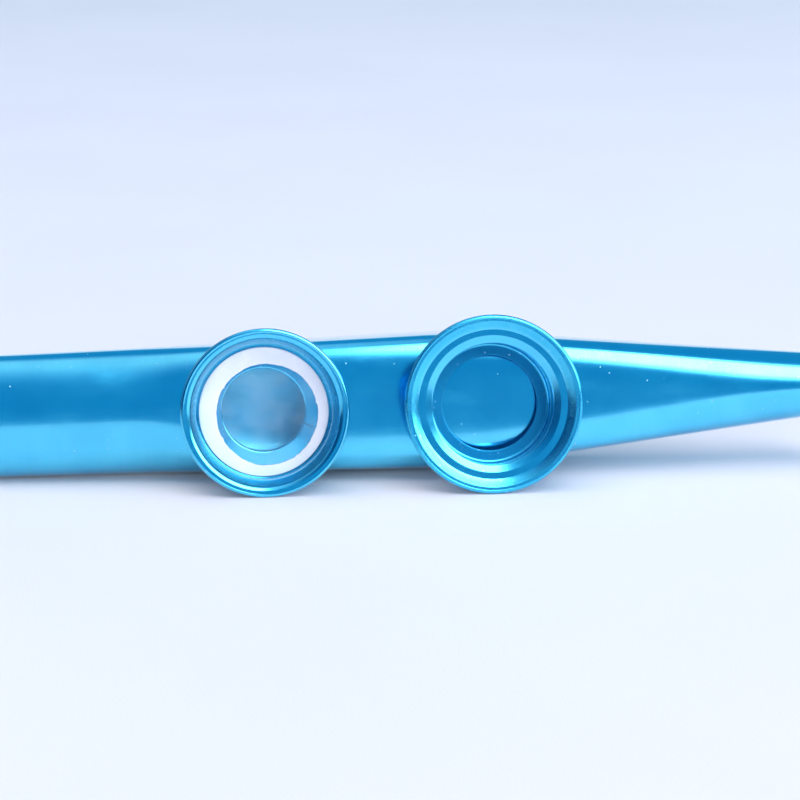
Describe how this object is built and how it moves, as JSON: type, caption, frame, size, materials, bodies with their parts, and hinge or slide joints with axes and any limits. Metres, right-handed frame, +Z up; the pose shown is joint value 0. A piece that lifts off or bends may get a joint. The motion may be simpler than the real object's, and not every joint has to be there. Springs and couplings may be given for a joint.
{
  "type": "kazoo",
  "caption": "Metal kazoo on its side: a flattened tube tapering to a round end, a flared turret holding a film and paper ring, and the loose flanged cap leaned on the tube.",
  "frame": {"origin": "on the surface that the kazoo lies on, under the middle of its whole outline", "axes": "+X along the tube towards its narrow end, +Z up; the turret and the cap's open side face -Y, tilted a little upwards"},
  "size_m": [0.1202, 0.0234, 0.0246],
  "materials": {
    "tube_metal": "polished",
    "turret_metal": "polished",
    "film": "gloss",
    "paper": "matte",
    "cap_metal": "polished"
  },
  "bodies": {
    "kazoo": {"body_tube": "tube_metal", "turret": "turret_metal"},
    "membrane": {"membrane_film": "film", "paper_ring": "paper"},
    "cap": {"cap": "cap_metal"}
  },
  "joints": [
    {"name": "cap_lift", "type": "slide", "parent": "kazoo", "child": "cap", "axis": [0, 0, 1], "range_m": [0, 0.04]},
    {"name": "membrane_lift", "type": "slide", "parent": "kazoo", "child": "membrane", "axis": [-0.0031, -0.9866, 0.1631], "range_m": [0, 0.012]}
  ]
}
